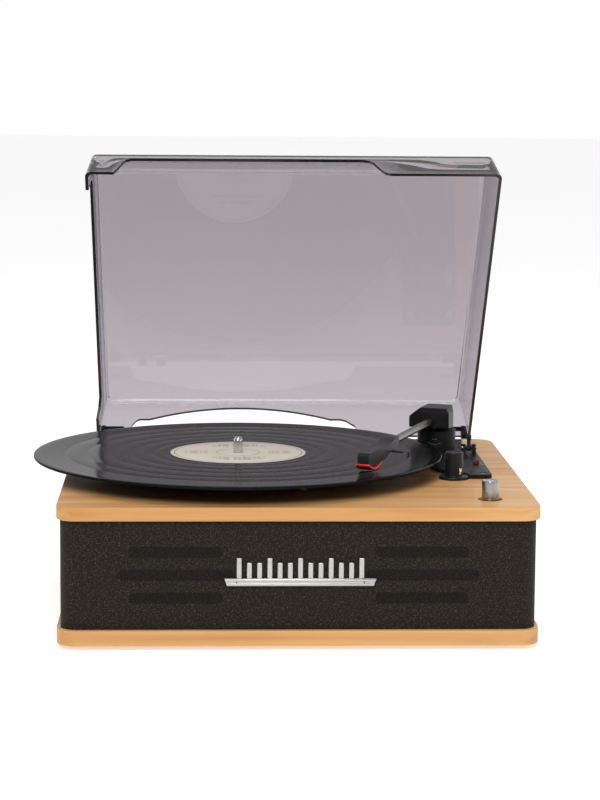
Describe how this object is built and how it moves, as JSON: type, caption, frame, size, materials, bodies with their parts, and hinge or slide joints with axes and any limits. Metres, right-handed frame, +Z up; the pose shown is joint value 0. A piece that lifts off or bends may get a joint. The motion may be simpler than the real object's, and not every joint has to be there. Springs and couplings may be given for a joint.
{
  "type": "turntable record player",
  "caption": "Record player: wooden plinth with cloth front and built-in speakers, belt driven platter with record, pivoted tonearm and hinged smoked lid.",
  "frame": {"origin": "on the supporting surface under the centre of the wooden plinth", "axes": "+X to the right seen from the front, +Y to the back, +Z up"},
  "size_m": [0.3573, 0.3515, 0.332],
  "materials": {
    "maple": "clear satin lacquer",
    "cloth": "woven speaker cloth",
    "board": "black stained fibreboard",
    "rubber": "soft matt",
    "bright_steel": "polished",
    "silver_trim": "fine brushed",
    "speaker_frame": "black enamel",
    "speaker_paper": "pressed paper",
    "magnet_iron": "ground ferrite and steel",
    "board_green": "glass fibre board",
    "nylon": "natural nylon",
    "capacitor_sleeve": "shrunk sleeve",
    "motor_steel": "zinc plated",
    "brass": "turned",
    "black_plastic": "fine moulded",
    "nickel": "nickel plated",
    "black_metal": "black anodised",
    "vinyl": "pressed vinyl with grooves",
    "label_paper": "printed paper",
    "red_plastic": "translucent red",
    "ivory_plastic": "moulded",
    "smoked_acrylic": "smoked clear acrylic"
  },
  "bodies": {
    "root": {"base_plate": "maple", "rubber_feet": "rubber", "base_screws": "bright_steel", "front_baffle": "board", "left_panel": "board", "right_panel": "board", "rear_panel": "board", "grille_cloth": "cloth", "badge_bar": "silver_trim", "badge_slats": "silver_trim", "left_speaker_basket": "speaker_frame", "left_speaker_cone": "speaker_paper", "left_speaker_magnet": "magnet_iron", "right_speaker_basket": "speaker_frame", "right_speaker_cone": "speaker_paper", "right_speaker_magnet": "magnet_iron", "amplifier_board": "board_green", "board_standoffs": "nylon", "board_capacitors": "capacitor_sleeve", "heat_sink": "silver_trim", "jack_plate": "black_plastic", "dc_jack": "black_plastic", "line_jacks": "nickel", "minijacks": "black_plastic", "top_plate": "maple", "volume_pot": "motor_steel", "motor_body": "motor_steel", "motor_grommets": "rubber", "drive_belt": "rubber", "bearing_housing": "speaker_frame", "bearing_bush": "brass", "thrust_ball": "bright_steel", "arm_deck": "black_plastic", "deck_screws": "bright_steel", "arm_tower": "black_plastic", "arm_rest_post": "black_plastic", "hinge_bases": "black_plastic", "hinge_pins": "bright_steel"},
    "turning_platter": {"spindle": "bright_steel", "platter": "black_metal", "platter_mat": "rubber", "record": "vinyl", "record_label": "label_paper"},
    "motor_rotor": {"motor_shaft": "bright_steel", "motor_pulley": "brass"},
    "volume_control": {"volume_knob": "silver_trim"},
    "arm_bearing": {"arm_yoke": "black_plastic", "yoke_pin": "bright_steel"},
    "tonearm": {"counterweight_block": "black_plastic", "arm_tube": "black_metal", "headshell": "black_plastic", "cartridge": "black_plastic", "stylus_guard": "red_plastic", "finger_lift": "black_plastic"},
    "cue_lift": {"cue_plunger": "black_plastic"},
    "cue_handle": {"cue_lever": "black_plastic"},
    "speed_slider": {"speed_switch": "ivory_plastic"},
    "autostop_slider": {"autostop_switch": "red_plastic"},
    "lid": {"lid_shell": "smoked_acrylic", "hinge_arms": "black_plastic"}
  },
  "joints": [
    {"name": "platter_spin", "type": "hinge", "parent": "root", "child": "turning_platter", "pos_m": [-0.04, -0.0028, 0.0995], "axis": [0, 0, 1], "continuous": true},
    {"name": "motor_spin", "type": "hinge", "parent": "root", "child": "motor_rotor", "pos_m": [0.004, -0.07901, 0.0995], "axis": [0, 0, 1], "continuous": true},
    {"name": "volume_turn", "type": "hinge", "parent": "root", "child": "volume_control", "pos_m": [0.134, -0.12, 0.0995], "axis": [0, 0, 1], "range_deg": [-150, 150]},
    {"name": "arm_swing", "type": "hinge", "parent": "root", "child": "arm_bearing", "pos_m": [0.1155, 0.08, 0.0995], "axis": [0, 0, 1], "range_deg": [-21, 21.5]},
    {"name": "arm_lift", "type": "hinge", "parent": "arm_bearing", "child": "tonearm", "pos_m": [0.1155, 0.08, 0.129], "axis": [-0.9385, 0.3453, 0], "range_deg": [0, 2]},
    {"name": "cue_turn", "type": "hinge", "parent": "root", "child": "cue_handle", "pos_m": [0.138, 0.055, 0.1075], "axis": [-1, 0, 0], "range_deg": [0, 60]},
    {"name": "cue_rise", "type": "slide", "parent": "root", "child": "cue_lift", "axis": [0, 0, 1], "range_m": [0, 0.0004]},
    {"name": "speed_slide", "type": "slide", "parent": "root", "child": "speed_slider", "axis": [0, 1, 0], "range_m": [-0.007, 0.007]},
    {"name": "autostop_slide", "type": "slide", "parent": "root", "child": "autostop_slider", "axis": [0, 1, 0], "range_m": [0, 0.006]},
    {"name": "lid_hinge", "type": "hinge", "parent": "root", "child": "lid", "pos_m": [0, 0.1568, 0.0827], "axis": [1, 0, 0], "range_deg": [0, 51]}
  ],
  "couplings": [
    {"joint": "motor_spin", "follows": "platter_spin", "ratio": 13.818},
    {"joint": "cue_turn", "follows": "arm_lift", "ratio": 30},
    {"joint": "cue_rise", "follows": "arm_lift", "m_per_rad": 0.0106}
  ]
}
